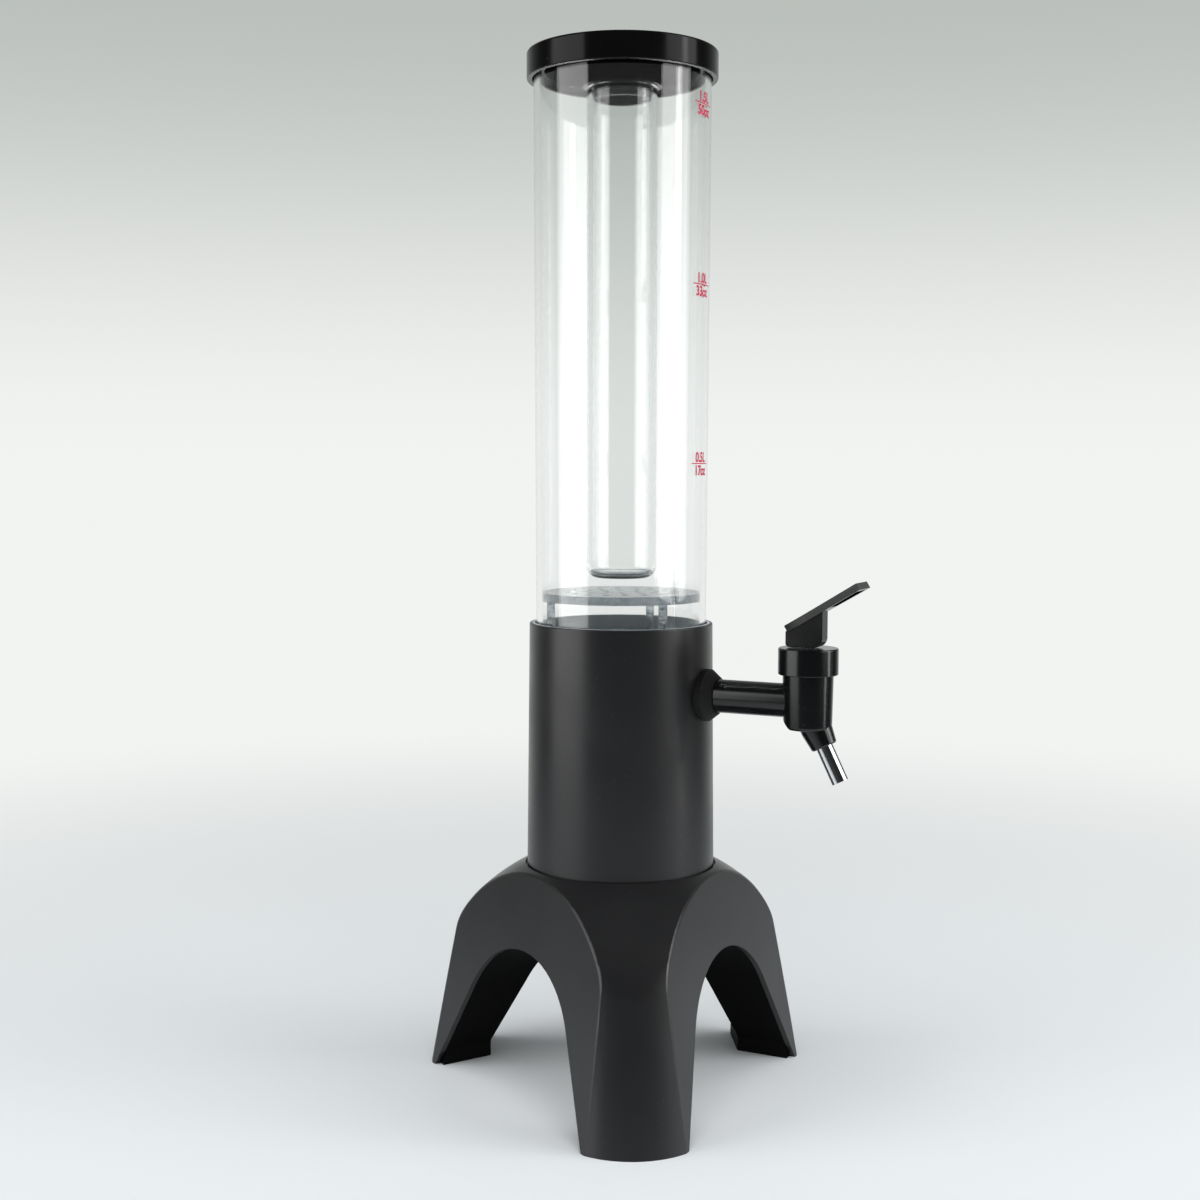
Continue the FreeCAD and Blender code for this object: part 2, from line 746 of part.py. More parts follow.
port_circle = circle(
    new_sketch(chamber_floor, "PortCircle", "XZ", ("0", "0", "sump_back")),
    "shank_radius + shank_hole_gap",
    "0",
    TAP_HEIGHT,
)
feature(chamber_floor, "Pocket", "Port", port_circle, Length="sump_face + 2 * sump_front_wall", Reversed=True)

tube_gasket = turned(
    "TubeGasket",
    "tube_gasket",
    [
        (f"{PLUG_RADIUS} + seal_gap", FLANGE_HEIGHT),
        (FLANGE_RADIUS, FLANGE_HEIGHT),
        (FLANGE_RADIUS, TUBE_FOOT),
        (f"{PLUG_RADIUS} + seal_gap", TUBE_FOOT),
    ],
)

# ---------------------------------------------------------------- clear tube and strainer

beer_tube = turned(
    "BeerTube",
    "beer_tube",
    [
        (tube_bore(TUBE_FOOT), TUBE_FOOT),
        ("tube_foot_radius", TUBE_FOOT),
        (TUBE_TOP_RADIUS, f"{TUBE_TOP} - tube_edge"),
        (f"{TUBE_TOP_RADIUS} - tube_edge", TUBE_TOP),
        (f"{TUBE_TOP_RADIUS} - tube_wall + tube_edge", TUBE_TOP),
        (f"{TUBE_TOP_RADIUS} - tube_wall", f"{TUBE_TOP} - tube_edge"),
    ],
)

STRAINER_RADIUS = f"({tube_bore(STRAINER_UNDERSIDE)} - strainer_gap)"
STRAINER_RINGS = 3
strainer_disc = turned(
    "StrainerDisc",
    "strainer_disc",
    [
        ("0", STRAINER_UNDERSIDE),
        (STRAINER_RADIUS, STRAINER_UNDERSIDE),
        (STRAINER_RADIUS, f"{STRAINER_UNDERSIDE} + strainer_wall"),
        ("0", f"{STRAINER_UNDERSIDE} + strainer_wall"),
    ],
)
leg_circle = circle(
    new_sketch(strainer_disc, "StrainerLegCircle", "XY", ("0", "0", FLOOR_HEIGHT)),
    "strainer_leg_radius",
    "-strainer_leg_reach * sin(strainer_turn)",
    "-strainer_leg_reach * cos(strainer_turn)",
)
leg = feature(strainer_disc, "Pad", "StrainerLeg", leg_circle, Length="strainer_leg_length")
around(strainer_disc, "StrainerLegs", [leg])
for ring in range(1, STRAINER_RINGS + 1):
    hole_circle = circle(
        new_sketch(strainer_disc, f"StrainerHole{ring}", "XY", ("0", "0", STRAINER_UNDERSIDE)),
        "strainer_hole",
        "0",
        f"{ring} * strainer_ring_pitch",
    )
    depth = f"strainer_wall + {OVERRUN}"
    hole = feature(strainer_disc, "Pocket", f"StrainerPocket{ring}", hole_circle, Length=depth, Reversed=True)
    around(strainer_disc, f"StrainerRing{ring}", [hole], 6 * ring)

# ---------------------------------------------------------------- lid and ice tube

COLLAR_RADIUS = f"({tube_bore(TUBE_TOP)} - lid_collar_gap)"
PLUG_END = f"({BOSS_UNDERSIDE} - holder_plug_length)"
HOLDER_PLUG = "(ice_radius - ice_wall - ice_plug_gap)"
RING_HEIGHT = f"({BOSS_UNDERSIDE} - 0.5 * holder_plug_length)"
RING_LINE = "(ice_radius - ice_wall - ring_gap - ring_radius)"
GROOVE_FLOOR = f"({RING_LINE} - ring_radius - ring_gap)"
GROOVE_HALF = "(ring_radius + ring_gap)"
lid_cap = turned(
    "LidCap",
    "lid_cap",
    [
        ("0", LID_TOP),
        ("0", LID_PLATE),
        (f"{HOLDER_PLUG} - holder_wall", LID_PLATE),
        (f"{HOLDER_PLUG} - holder_wall", PLUG_END),
        (HOLDER_PLUG, PLUG_END),
        (HOLDER_PLUG, f"{RING_HEIGHT} - {GROOVE_HALF}"),
        (GROOVE_FLOOR, f"{RING_HEIGHT} - {GROOVE_HALF}"),
        (GROOVE_FLOOR, f"{RING_HEIGHT} + {GROOVE_HALF}"),
        (HOLDER_PLUG, f"{RING_HEIGHT} + {GROOVE_HALF}"),
        (HOLDER_PLUG, BOSS_UNDERSIDE),
        ("holder_radius", BOSS_UNDERSIDE),
        ("holder_radius", LID_PLATE),
        (f"{COLLAR_RADIUS} - lid_collar_wall", LID_PLATE),
        (f"{COLLAR_RADIUS} - lid_collar_wall", f"{LID_PLATE} - lid_collar_length"),
        (COLLAR_RADIUS, f"{LID_PLATE} - lid_collar_length"),
        (COLLAR_RADIUS, LID_PLATE),
        (f"{LID_RADIUS} - lid_wall", LID_PLATE),
        (f"{LID_RADIUS} - lid_wall", LID_UNDERSIDE),
        (f"{LID_RADIUS} - lid_foot_edge", LID_UNDERSIDE),
        (LID_RADIUS, f"{LID_UNDERSIDE} + lid_foot_edge"),
        (LID_RADIUS, f"{LID_TOP} - lid_edge"),
        (f"{LID_RADIUS} - lid_edge", LID_TOP),
    ],
    {20: ("lid_edge", 1)},
)
lid_seal = turned(
    "LidSeal",
    "lid_seal",
    [
        (f"{COLLAR_RADIUS} + seal_gap", f"{LID_PLATE} - lid_seal_wall"),
        (f"{LID_RADIUS} - lid_wall - seal_gap", f"{LID_PLATE} - lid_seal_wall"),
        (f"{LID_RADIUS} - lid_wall - seal_gap", LID_PLATE),
        (f"{COLLAR_RADIUS} + seal_gap", LID_PLATE),
    ],
)
ICE_BORE = "(ice_radius - ice_wall)"
ICE_CORNER = f"(0.25 * {ICE_BORE})"
ice_tube = turned(
    "IceTube",
    "ice_tube",
    [
        (ICE_BORE, ICE_TOP),
        (ICE_BORE, f"{ICE_BOTTOM} + ice_wall + {ICE_CORNER}"),
        (f"{ICE_BORE} - {ICE_CORNER}", f"{ICE_BOTTOM} + ice_wall"),
        ("0", f"{ICE_BOTTOM} + ice_wall"),
        ("0", ICE_BOTTOM),
        (f"ice_radius - {ICE_CORNER} - ice_wall", ICE_BOTTOM),
        ("ice_radius", f"{ICE_BOTTOM} + ice_wall + {ICE_CORNER}"),
        ("ice_radius", ICE_TOP),
    ],
    {1: (ICE_CORNER, -1), 5: (f"{ICE_CORNER} + ice_wall", 1)},
)
holder_ring = doc.addObject("Part::Torus", "HolderRing")
holder_ring.Label = "holder_ring"
bind(holder_ring, "Radius1", RING_LINE)
bind(holder_ring, "Radius2", "ring_radius")
place(holder_ring, z=RING_HEIGHT)

# ---------------------------------------------------------------- tap

TAP_BASE = ("0", "-tap_reach", TAP_HEIGHT)


def across_tap(body, name, formula_z="0"):
    """A sketch in the plane that the tap's two axes share: first coordinate +Y, second +Z."""
    return new_sketch(body, name, "YZ", (formula_z, "0", "0"))


tap_body = turned(
    "TapBody",
    "tap_body",
    [
        ("0", "-body_underside"),
        ("body_foot_radius - body_round", "-body_underside"),
        ("body_foot_radius", "-body_underside + body_round"),
        ("body_radius", "neck_base"),
        ("neck_radius", "neck_base"),
        ("neck_radius", NECK_TOP),
        ("0", NECK_TOP),
    ],
    {1: ("body_round", 1)},
    TAP_BASE,
)
heel = outline(
    across_tap(tap_body, "HeelOutline"),
    [
        (f"body_foot_radius + {OVERRUN}", "-heel_cut_height"),
        (f"body_foot_radius + {OVERRUN}", f"-body_underside - {OVERRUN}"),
        ("body_foot_radius - heel_cut_width", f"-body_underside - {OVERRUN}"),
        ("body_foot_radius - heel_cut_width", "-body_underside"),
        ("body_foot_radius", "-heel_cut_height"),
    ],
)
feature(tap_body, "Pocket", "HeelCut", heel, Length="4 * body_radius", Midplane=True)
SPOUT_FRAME = {"shift": ("-spout_start", "-spout_drop", "0"), "lean": "-spout_lean"}
socket_profile = outline(
    new_sketch(tap_body, "SocketProfile", "YZ", **SPOUT_FRAME),
    [
        ("0", "socket_root"),
        ("socket_top_radius", "socket_root"),
        ("socket_top_radius", "0"),
        ("socket_foot_radius", "-socket_length + socket_edge"),
        ("socket_foot_radius - socket_edge", "-socket_length"),
        ("0", "-socket_length"),
    ],
)
feature(tap_body, "Revolution", "Socket", socket_profile)
shank_profile = circle(new_sketch(tap_body, "ShankProfile", "XZ"), "shank_radius")
feature(tap_body, "Pad", "Shank", shank_profile, Length="tap_reach - shank_end", Reversed=True)
chamber = outline(
    new_sketch(tap_body, "ChamberProfile"),
    [
        ("0", f"{NECK_TOP} + {OVERRUN}"),
        ("0", "-body_underside + well_wall"),
        ("seat_bore", "-body_underside + well_wall"),
        ("seat_bore", "-seat_height"),
        ("chamber_bore", "-seat_height"),
        ("chamber_bore", f"{NECK_TOP} + {OVERRUN}"),
    ],
)
feature(tap_body, "Groove", "Chamber", chamber)
bore_circle = circle(new_sketch(tap_body, "BoreCircle", "XZ"), "shank_bore")
feature(tap_body, "Pocket", "ShankBore", bore_circle, Length=f"tap_reach - shank_end + {OVERRUN}")
spout_hole = outline(
    new_sketch(tap_body, "SpoutHoleProfile", "YZ", **SPOUT_FRAME),
    [
        ("0", "spout_hole_rise"),
        ("spout_radius - spout_wall - spout_lip", "spout_hole_rise"),
        ("spout_radius - spout_wall - spout_lip", "-socket_length + spout_seat"),
        ("spout_radius", "-socket_length + spout_seat"),
        ("spout_radius", f"-socket_length - {OVERRUN}"),
        ("0", f"-socket_length - {OVERRUN}"),
    ],
)
feature(tap_body, "Groove", "SpoutHole", spout_hole)

spout = turned(
    "Spout",
    "spout",
    [
        ("spout_radius - spout_wall", "-socket_length + spout_seat"),
        ("spout_radius", "-socket_length + spout_seat"),
        ("spout_radius", "-socket_length + spout_seat - spout_length"),
        ("spout_radius - spout_wall", "-socket_length + spout_seat - spout_length"),
    ],
    None,
    ("0", "-tap_reach - spout_start", f"{TAP_HEIGHT} - spout_drop"),
)
spout.Placement = Placement(spout.Placement.Base, Rotation(Vector(-1, 0, 0), number("spout_lean")))
bind(spout, "Placement.Rotation.Angle", "spout_lean")

tap_washer = new_body("TapWasherBlank", None, ("0", "0", TAP_HEIGHT))
WASHER_FACE = f"({sleeve_radius(TAP_HEIGHT)} + washer_rim)"
WASHER_TIP = f"({sleeve_radius(TAP_HEIGHT)} + washer_length)"
WASHER_ROOT = f"sqrt({sleeve_radius(TAP_HEIGHT)}^2 - {WASHER_RADIUS}^2)"
washer_profile = outline(
    new_sketch(tap_washer, "WasherProfile", "XY"),
    [
        ("shank_radius + nut_gap", f"-({WASHER_ROOT} - {OVERRUN})"),
        (WASHER_RADIUS, f"-({WASHER_ROOT} - {OVERRUN})"),
        (WASHER_RADIUS, f"-{WASHER_FACE}"),
        (WASHER_TIP_RADIUS, f"-{WASHER_TIP}"),
        ("shank_radius + nut_gap", f"-{WASHER_TIP}"),
    ],
)
feature(tap_washer, "Revolution", "WasherTurn", washer_profile)
sleeve_surface = turned(
    "SleeveSurface",
    None,
    [
        ("0", DECK_FLOOR),
        (f"{SLEEVE_FOOT_RADIUS} + washer_gap", DECK_FLOOR),
        (f"{SLEEVE_TOP_RADIUS} + washer_gap", SLEEVE_TOP),
        ("0", SLEEVE_TOP),
    ],
)
outer_washer = combine("Cut", "OuterWasher", (tap_washer, sleeve_surface), "tap_washer")


def ring_on_shank(name, label, inner, outer, near, length):
    """A flat ring round the shank's axis, from a distance out of the tower's axis inwards."""
    body = new_body(name, label, ("0", "0", TAP_HEIGHT))
    sketch = new_sketch(body, name + "Circles", "XZ", ("0", "0", f"{near} - ({length})"))
    circle(circle(sketch, outer), inner)
    feature(body, "Pad", name + "Pad", sketch, Length=length)
    return body


inner_washer = ring_on_shank(
    "InnerWasher",
    "inner_washer",
    "shank_radius + nut_gap",
    INNER_WASHER_RADIUS,
    "sump_face",
    "inner_washer_wall",
)
shank_nut = new_body("ShankNut", "shank_nut", ("0", "0", TAP_HEIGHT))
NUT_FACE = "(sump_face - inner_washer_wall)"
nut_sketch = new_sketch(shank_nut, "NutHexagon", "XZ", ("0", "0", f"{NUT_FACE} - nut_length"))
outline(
    nut_sketch,
    [
        (f"{NUT_FLAT} / cos(30) * cos({60 * corner})", f"{NUT_FLAT} / cos(30) * sin({60 * corner})")
        for corner in range(6)
    ],
)
circle(nut_sketch, "shank_radius + nut_gap")
feature(shank_nut, "Pad", "NutPad", nut_sketch, Length="nut_length")

tap_collar = turned(
    "TapCollar",
    "tap_collar",
    [
        ("neck_radius + collar_thread_gap", "neck_base"),
        ("collar_radius - collar_foot_edge", "neck_base"),
        ("collar_radius", "neck_base + collar_foot_edge"),
        ("collar_radius", f"{COLLAR_TOP} - collar_edge"),
        ("collar_radius - collar_edge", COLLAR_TOP),
        ("stem_radius + stem_gap", COLLAR_TOP),
        ("stem_radius + stem_gap", f"{COLLAR_TOP} - 0.5 * collar_top_wall"),
        ("stem_radius + 2 * stem_ring_radius + 2 * ring_gap", f"{COLLAR_TOP} - 0.5 * collar_top_wall"),
        ("stem_radius + 2 * stem_ring_radius + 2 * ring_gap", f"{COLLAR_TOP} - collar_top_wall"),
        ("neck_radius + collar_thread_gap", f"{COLLAR_TOP} - collar_top_wall"),
    ],
    {3: ("collar_edge", 1)},
    TAP_BASE,
)
stem_ring = doc.addObject("Part::Torus", "StemRing")
stem_ring.Label = "stem_ring"
bind(stem_ring, "Radius1", "stem_radius + stem_ring_radius + ring_gap")
bind(stem_ring, "Radius2", "stem_ring_radius")
place(stem_ring, "0", "-tap_reach", f"{TAP_HEIGHT} + {COLLAR_TOP} - 0.5 * collar_top_wall - stem_ring_radius")

SEAL_TOP = "(seal_wall - seat_height)"
valve_seal = turned(
    "ValveSeal",
    "valve_seal",
    [
        ("0", "-seat_height"),
        ("seal_radius", "-seat_height"),
        ("seal_radius", f"{SEAL_TOP} - seal_edge"),
        ("seal_radius - seal_edge", SEAL_TOP),
        ("0", SEAL_TOP),
    ],
    None,
    TAP_BASE,
)
STEM_COLLAR_TOP = f"({SEAL_TOP} + stem_collar_height + stem_collar_wall)"
valve_stem = turned(
    "ValveStem",
    "valve_stem",
    [
        ("0", SEAL_TOP),
        ("stem_radius", SEAL_TOP),
        ("stem_radius", f"{SEAL_TOP} + stem_collar_height"),
        ("stem_collar_radius", f"{SEAL_TOP} + stem_collar_height"),
        ("stem_collar_radius", STEM_COLLAR_TOP),
        ("stem_radius", STEM_COLLAR_TOP),
        ("stem_radius", f"{COLLAR_TOP} - stem_shoulder"),
        ("0", f"{COLLAR_TOP} - stem_shoulder"),
    ],
    None,
    TAP_BASE,
)
TONGUE = "sqrt(stem_radius^2 - eye_half_width^2)"
tongue = outline(
    across_tap(valve_stem, "TongueOutline"),
    [
        (f"-{TONGUE}", f"{COLLAR_TOP} - stem_shoulder"),
        (TONGUE, f"{COLLAR_TOP} - stem_shoulder"),
        (TONGUE, PIVOT_HEIGHT),
        (f"-{TONGUE}", PIVOT_HEIGHT),
    ],
)
feature(valve_stem, "Pad", "Tongue", tongue, Length="2 * eye_half_width", Midplane=True)
eye_circle = circle(across_tap(valve_stem, "EyeCircle"), "eye_radius", "0", PIVOT_HEIGHT)
feature(valve_stem, "Pad", "Eye", eye_circle, Length="2 * eye_half_width", Midplane=True)
eye_hole = circle(across_tap(valve_stem, "EyeHoleCircle"), "pin_radius + pin_gap", "0", PIVOT_HEIGHT)
feature(valve_stem, "Pocket", "EyeHole", eye_hole, Length="4 * eye_half_width", Midplane=True)

return_spring = doc.addObject("Part::Feature", "ReturnSpring")
spring_bottom = number(f"{STEM_COLLAR_TOP} + spring_wire")
spring_top = number(f"{COLLAR_TOP} - collar_top_wall - spring_wire")
wire_radius = number("spring_wire")
coil_radius = number("spring_radius")
spring_length = spring_top - spring_bottom
coil = Part.makeHelix(spring_length / number("spring_turns"), spring_length, coil_radius)
wire_end = Part.Wire(Part.makeCircle(wire_radius, Vector(coil_radius, 0, 0), Vector(0, 1, 0)))
return_spring.Shape = Part.Wire(coil).makePipeShell([wire_end], True, True)
return_spring.Label = "return_spring"
return_spring.Placement = Placement(
    Vector(0, number("-tap_reach"), number(TAP_HEIGHT) + spring_bottom), Rotation()
)

# ---------------------------------------------------------------- lever

tap_lever = new_body("TapLever", "tap_lever", TAP_BASE)
LEVER_UNDERSIDE = f"({COLLAR_TOP} + lever_lift)"
PADDLE_RISE = "tan(paddle_slope)"


def paddle_underside(reach):
    """Height of the paddle's lower face at a distance out from the tap's axis."""
    return (
        f"({PIVOT_HEIGHT} + paddle_start_height + (paddle_start + ({reach})) * {PADDLE_RISE}"
        " - paddle_wall / cos(paddle_slope))"
    )


block = outline(
    across_tap(tap_lever, "BlockOutline"),
    [
        ("lever_inner_end - lever_heel", LEVER_UNDERSIDE),
        ("lever_inner_end", f"{LEVER_UNDERSIDE} + lever_heel"),
        ("lever_inner_end", f"{paddle_underside('-lever_inner_end')} + {OVERRUN}"),
        ("-lever_outer_end", f"{paddle_underside('lever_outer_end')} + {OVERRUN}"),
        ("-lever_outer_end", f"{LEVER_UNDERSIDE} + lever_corner"),
        ("-lever_outer_end + lever_corner", LEVER_UNDERSIDE),
    ],
    {4: ("lever_corner", 1)},
)
feature(tap_lever, "Pad", "Block", block, Length="2 * lever_half_width", Midplane=True)
PADDLE_FRAME = {
    "shift": ("0", "paddle_start", f"{PIVOT_HEIGHT} + paddle_start_height"),
    "lean": "-paddle_slope",
    "lean_axis": Vector(1, 0, 0),
}


def paddle_half_width(distance):
    widening = "(paddle_tip_half_width - paddle_root_half_width) / (paddle_length - paddle_flat)"
    return f"(paddle_root_half_width + {widening} * (({distance}) - paddle_flat))"


paddle = outline(
    new_sketch(tap_lever, "PaddleOutline", "XY", **PADDLE_FRAME),
    [
        ("-paddle_root_half_width", "0"),
        ("-paddle_root_half_width", "-paddle_flat"),
        ("-paddle_tip_half_width", "-paddle_length"),
        ("paddle_tip_half_width", "-paddle_length"),
        ("paddle_root_half_width", "-paddle_flat"),
        ("paddle_root_half_width", "0"),
    ],
)
feature(tap_lever, "Pad", "Paddle", paddle, Length="paddle_wall", Reversed=True)
RECESS_START = "(paddle_start / cos(paddle_slope) + lever_outer_end / cos(paddle_slope) + 2 * paddle_rim)"
UNDERSIDE_FRAME = PADDLE_FRAME | {
    "shift": (
        "0",
        "paddle_start - paddle_wall * sin(paddle_slope)",
        f"{PIVOT_HEIGHT} + paddle_start_height - paddle_wall * cos(paddle_slope)",
    ),
}
recess = outline(
    new_sketch(tap_lever, "PaddleRecessOutline", "XY", **UNDERSIDE_FRAME),
    [
        (f"-({paddle_half_width(RECESS_START)} - paddle_rim)", f"-{RECESS_START}"),
        ("-(paddle_tip_half_width - paddle_rim)", "-(paddle_length - 1.5 * paddle_rim)"),
        ("paddle_tip_half_width - paddle_rim", "-(paddle_length - 1.5 * paddle_rim)"),
        (f"{paddle_half_width(RECESS_START)} - paddle_rim", f"-{RECESS_START}"),
    ],
)
feature(
    tap_lever, "Pocket", "PaddleRecess", recess, Length="paddle_wall - paddle_floor", Reversed=True
)
slot = outline(
    across_tap(tap_lever, "SlotOutline"),
    [
        ("eye_radius + slot_gap", COLLAR_TOP),
        ("eye_radius + slot_gap", f"{PIVOT_HEIGHT} + eye_radius + slot_head_room"),
        ("-eye_radius - slot_swing", f"{PIVOT_HEIGHT} + eye_radius + slot_head_room"),
        ("-eye_radius - slot_swing", COLLAR_TOP),
    ],
)
feature(tap_lever, "Pocket", "Slot", slot, Length="2 * (eye_half_width + slot_gap)", Midplane=True)
pin_hole = circle(across_tap(tap_lever, "PinHoleCircle"), "pin_radius", "0", PIVOT_HEIGHT)
feature(tap_lever, "Pocket", "PinHole", pin_hole, Length="4 * lever_half_width", Midplane=True)

lever_pin = new_body("LeverPin", "lever_pin", TAP_BASE)
pin_circle = circle(across_tap(lever_pin, "PinCircle"), "pin_radius", "0", PIVOT_HEIGHT)
feature(lever_pin, "Pad", "PinPad", pin_circle, Length="2 * lever_half_width", Midplane=True)

# ---------------------------------------------------------------- check and write

doc.removeObject("Calculator")
doc.recompute()
for item in doc.Objects:
    if "Invalid" in item.State or "Error" in item.State:
        raise RuntimeError(f"{item.Label} failed: {item.State}")

SUB_PARTS = [
    base_shell,
    base_underside,
    underside_screws,
    sleeve_screws,
    column_sleeve,
    chamber_floor,
    tube_gasket,
    beer_tube,
    strainer_disc,
    lid_cap,
    lid_seal,
    holder_ring,
    ice_tube,
    tap_body,
    outer_washer,
    inner_washer,
    shank_nut,
    tap_collar,
    stem_ring,
    valve_stem,
    valve_seal,
    return_spring,
    tap_lever,
    lever_pin,
    spout,
]
os.makedirs("parts", exist_ok=True)
for part in SUB_PARTS:
    if part.Shape.isNull() or not part.Shape.isValid():
        raise RuntimeError(f"{part.Label} has no valid shape")
for part in SUB_PARTS:
    part.Shape.exportStep(f"parts/{part.Label}.step")
    print(part.Label, len(part.Shape.Solids), "solid", round(part.Shape.Volume / 1000, 2), "cm3")
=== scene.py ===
import math
import bpy
from mathutils import Matrix, Vector


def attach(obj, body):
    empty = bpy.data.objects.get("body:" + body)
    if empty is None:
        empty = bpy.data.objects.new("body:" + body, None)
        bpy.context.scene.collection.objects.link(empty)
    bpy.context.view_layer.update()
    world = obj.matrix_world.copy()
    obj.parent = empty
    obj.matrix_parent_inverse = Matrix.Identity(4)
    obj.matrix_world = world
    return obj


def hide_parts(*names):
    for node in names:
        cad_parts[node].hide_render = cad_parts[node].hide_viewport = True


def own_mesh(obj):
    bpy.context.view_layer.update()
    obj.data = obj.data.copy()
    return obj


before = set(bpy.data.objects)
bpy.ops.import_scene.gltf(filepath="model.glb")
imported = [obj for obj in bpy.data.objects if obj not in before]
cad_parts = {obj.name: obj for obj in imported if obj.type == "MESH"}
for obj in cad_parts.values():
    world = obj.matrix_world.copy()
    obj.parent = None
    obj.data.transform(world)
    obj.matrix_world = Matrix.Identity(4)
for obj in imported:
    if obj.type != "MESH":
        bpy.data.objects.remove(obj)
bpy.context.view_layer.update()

print("frame loaded")

# Metres throughout. Z is up, the tower's axis stands at x = y = 0 and the tap points to -Y.


def clearSelection():
    bpy.ops.object.select_all(action="DESELECT")


def pickAlone(piece):
    clearSelection()
    piece.select_set(True)
    bpy.context.view_layer.objects.active = piece


def applyModifiers(piece):
    pickAlone(piece)
    for modifier in list(piece.modifiers):
        bpy.ops.object.modifier_apply(modifier=modifier.name)


def applyPlace(piece):
    pickAlone(piece)
    bpy.ops.object.transform_apply(location=True, rotation=True, scale=True)


# one edit mode operator, on the whole mesh of a piece
def editWhole(piece, operator, **values):
    pickAlone(piece)
    bpy.ops.object.mode_set(mode="EDIT")
    bpy.ops.mesh.select_all(action="SELECT")
    operator(**values)
    bpy.ops.object.mode_set(mode="OBJECT")


def place(piece, body, material, slot, *nodes):
    piece.data.materials.clear()
    piece.data.materials.append(material)
    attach(piece, body)
    if nodes:
        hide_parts(*nodes)


def newGroup(name, inputs, outputs):
    group = bpy.data.node_groups.new(name, "ShaderNodeTree")
    for side, sockets in {"INPUT": inputs, "OUTPUT": outputs}.items():
        for socketName, kind in sockets.items():
            group.interface.new_socket(
                name=socketName, in_out=side, socket_type="NodeSocket" + kind
            )
    return group, group.nodes.new("NodeGroupInput"), group.nodes.new("NodeGroupOutput")


def node(tree, kind, inputs=None, **settings):
    made = tree.nodes.new("ShaderNode" + kind)
    for name, value in settings.items():
        setattr(made, name, value)
    for name, value in (inputs or {}).items():
        made.inputs[name].default_value = value
    return made


def findNode(tree, kind):
    return next(found for found in tree.nodes if found.type == kind)


def wire(tree, start, startSocket, end, endSocket):
    tree.links.new(start.outputs[startSocket], end.inputs[endSocket])


skinPattern = {
    "grainDetail": 3,
    "smudgeDetail": 4,
    "smudgeTwist": 0.7,
    "smudgeRange": (0.38, 0.66),
    "speckScale": 420,
    "speckEdge": 0.16,
    "speckCore": 0.05,
    "bareShare": 0.93,  # of the cells that specks could lie in
}


# the skin of moulded plastic: fine grain, broad smudges and a few specks of dust
def makeMouldSkin():
    group, start, end = newGroup(
        "mouldSkin",
        {"Vector": "Vector", "Grain Scale": "Float", "Smudge Scale": "Float", "Dust": "Float"},
        {"Grain": "Float", "Smudge": "Float", "Dust": "Float"},
    )
    smudgeLow, smudgeHigh = skinPattern["smudgeRange"]
    grain = node(group, "TexNoise", {"Detail": skinPattern["grainDetail"]})
    smudge = node(
        group,
        "TexNoise",
        {"Detail": skinPattern["smudgeDetail"], "Distortion": skinPattern["smudgeTwist"]},
    )
    smudgeRange = node(group, "MapRange", {"From Min": smudgeLow, "From Max": smudgeHigh})
    cells = node(group, "TexVoronoi", {"Scale": skinPattern["speckScale"]})
    speck = node(
        group,
        "MapRange",
        {"From Min": skinPattern["speckEdge"], "From Max": skinPattern["speckCore"]},
    )
    rare = node(group, "Math", {1: skinPattern["bareShare"]}, operation="GREATER_THAN")
    split = node(group, "SeparateColor")
    both = node(group, "Math", operation="MULTIPLY")
    amount = node(group, "Math", operation="MULTIPLY")
    wire(group, start, "Vector", grain, "Vector")
    wire(group, start, "Grain Scale", grain, "Scale")
    wire(group, start, "Vector", smudge, "Vector")
    wire(group, start, "Smudge Scale", smudge, "Scale")
    wire(group, smudge, "Fac", smudgeRange, "Value")
    wire(group, start, "Vector", cells, "Vector")
    wire(group, cells, "Distance", speck, "Value")
    wire(group, cells, "Color", split, "Color")
    wire(group, split, "Red", rare, 0)
    wire(group, speck, "Result", both, 0)
    wire(group, rare, "Value", both, 1)
    wire(group, both, "Value", amount, 0)
    wire(group, start, "Dust", amount, 1)
    wire(group, grain, "Fac", end, "Grain")
    wire(group, smudgeRange, "Result", end, "Smudge")
    wire(group, amount, "Value", end, "Dust")
    return group


linePattern = {"scale": 1, "detail": 3}


# lines as left by drawing or turning, stretched by Across and Along
def makeDrawnLines():
    group, start, end = newGroup(
        "drawnLines", {"Vector": "Vector", "Across": "Float", "Along": "Float"}, {"Height": "Float"}
    )
    spread = node(group, "CombineXYZ")
    stretch = node(group, "VectorMath", operation="MULTIPLY")
    lines = node(
        group, "TexNoise", {"Scale": linePattern["scale"], "Detail": linePattern["detail"]}
    )
    wire(group, start, "Across", spread, "X")
    wire(group, start, "Across", spread, "Y")
    wire(group, start, "Along", spread, "Z")
    wire(group, start, "Vector", stretch, 0)
    wire(group, spread, "Vector", stretch, 1)
    wire(group, stretch, "Vector", lines, "Vector")
    wire(group, lines, "Fac", end, "Height")
    return group


mouldSkin = makeMouldSkin()
drawnLines = makeDrawnLines()
print("shader groups made")


def newMaterial(name):
    material = bpy.data.materials.new(name)
    material.use_nodes = True
    tree = material.node_tree
    return material, tree, findNode(tree, "BSDF_PRINCIPLED")


# roughness follows one output of a pattern, the bump another
def roughAndBump(tree, shader, look, pattern, roughOutput, bumpOutput):
    rough = node(
        tree,
        "MapRange",
        {"To Min": look["roughness"], "To Max": look["roughness"] + look["haze"]},
    )
    bump = node(tree, "Bump", {"Strength": look["bump"], "Distance": look["bumpDepth"]})
    wire(tree, pattern, roughOutput, rough, "Value")
    wire(tree, rough, "Result", shader, "Roughness")
    wire(tree, pattern, bumpOutput, bump, "Height")
    wire(tree, bump, "Normal", shader, "Normal")


